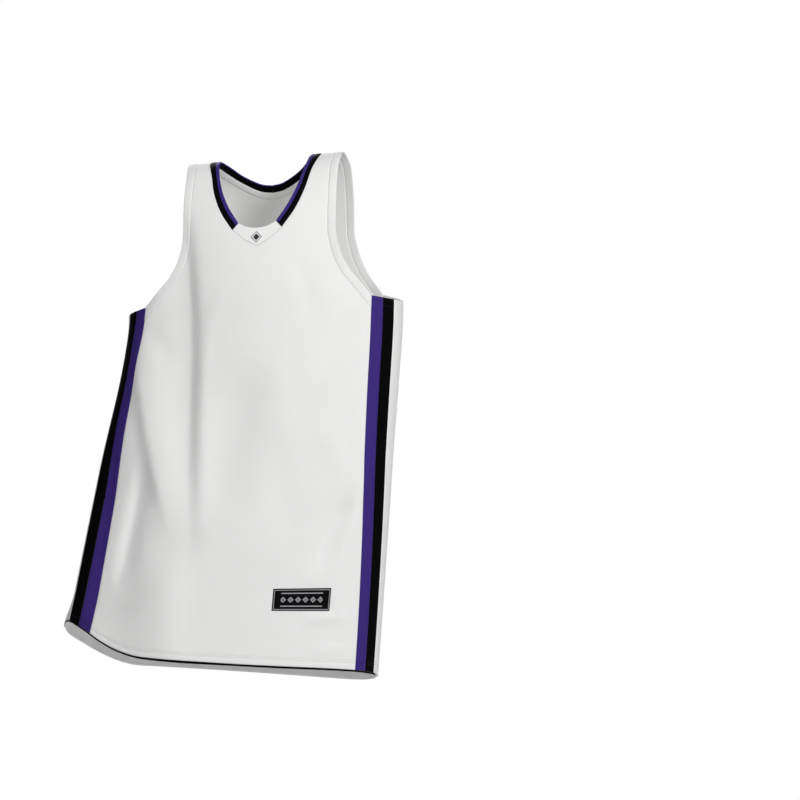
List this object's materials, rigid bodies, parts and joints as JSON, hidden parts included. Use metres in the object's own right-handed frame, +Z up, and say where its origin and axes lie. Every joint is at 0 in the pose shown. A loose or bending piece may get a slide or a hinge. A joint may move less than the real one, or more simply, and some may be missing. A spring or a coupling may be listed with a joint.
{
  "type": "basketball jersey",
  "caption": "Sleeveless basketball jersey filled out with no wearer, white with purple and black side stripes, two-tone collar, V insert, bound armholes and a hem label.",
  "frame": {"origin": "the level of the shoulder line, midway between the two straps, where a wearer's shoulders hold the garment", "axes": "+Z up along the garment's height, -Y out of the front, +X to the wearer's left"},
  "size_m": [0.4915, 0.2328, 0.8219],
  "materials": {
    "body_fabric": "fine smooth polyester knit, soft sheen",
    "white_binding": "folded knit binding, stitched",
    "purple_fabric": "smooth polyester knit",
    "black_fabric": "smooth polyester knit",
    "black_rib": "fine rib knit",
    "purple_rib": "fine rib knit",
    "label_weave": "woven label with grey motifs"
  },
  "bodies": {
    "root": {"armhole_band_left": "white_binding", "armhole_band_right": "white_binding", "back_panel": "body_fabric", "collar_black": "black_rib", "collar_insert": "body_fabric", "collar_purple": "purple_rib", "front_panel": "body_fabric", "hem_edging_front": "black_fabric", "hem_label": "label_weave", "side_left_black_back": "black_fabric", "side_left_black_front": "black_fabric", "side_left_purple_back": "purple_fabric", "side_left_purple_front": "purple_fabric", "side_left_white_centre": "body_fabric", "side_right_black_back": "black_fabric", "side_right_black_front": "black_fabric", "side_right_purple_back": "purple_fabric", "side_right_purple_front": "purple_fabric", "side_right_white_centre": "body_fabric"}
  },
  "joints": []
}
